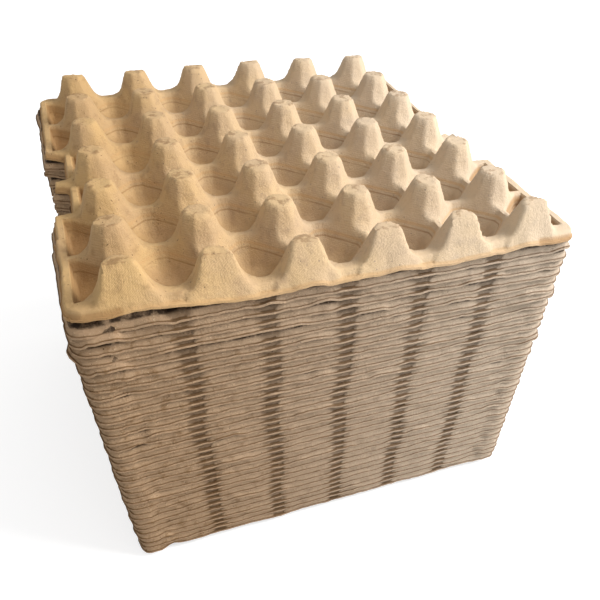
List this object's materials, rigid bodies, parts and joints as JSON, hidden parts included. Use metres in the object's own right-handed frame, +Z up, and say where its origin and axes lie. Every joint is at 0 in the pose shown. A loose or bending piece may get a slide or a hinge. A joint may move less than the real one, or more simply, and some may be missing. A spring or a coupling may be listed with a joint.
{
  "type": "stack of pulp egg trays",
  "caption": "Nested stack of moulded pulp egg trays: pyramid posts, egg cups between them, side flanges with finger notches.",
  "frame": {"origin": "on the floor under the middle of the stack", "axes": "+Z up, X across the five cells, Y across the six cells, front face towards -Y"},
  "size_m": [0.295, 0.295, 0.2399],
  "materials": {
    "pulp": "rough moulded grey-brown pulp"
  },
  "bodies": {
    "root": {"tray_01": "pulp", "tray_02": "pulp", "tray_03": "pulp", "tray_04": "pulp", "tray_05": "pulp", "tray_06": "pulp", "tray_07": "pulp", "tray_08": "pulp", "tray_09": "pulp", "tray_10": "pulp", "tray_11": "pulp", "tray_12": "pulp", "tray_13": "pulp", "tray_14": "pulp", "tray_15": "pulp", "tray_16": "pulp", "tray_17": "pulp", "tray_18": "pulp", "tray_19": "pulp", "tray_20": "pulp", "tray_21": "pulp", "tray_22": "pulp", "tray_23": "pulp", "tray_24": "pulp", "tray_25": "pulp", "tray_26": "pulp", "tray_27": "pulp", "tray_28": "pulp", "tray_29": "pulp", "tray_30": "pulp", "tray_31": "pulp", "tray_32": "pulp", "tray_33": "pulp", "tray_34": "pulp", "tray_35": "pulp"}
  },
  "joints": []
}
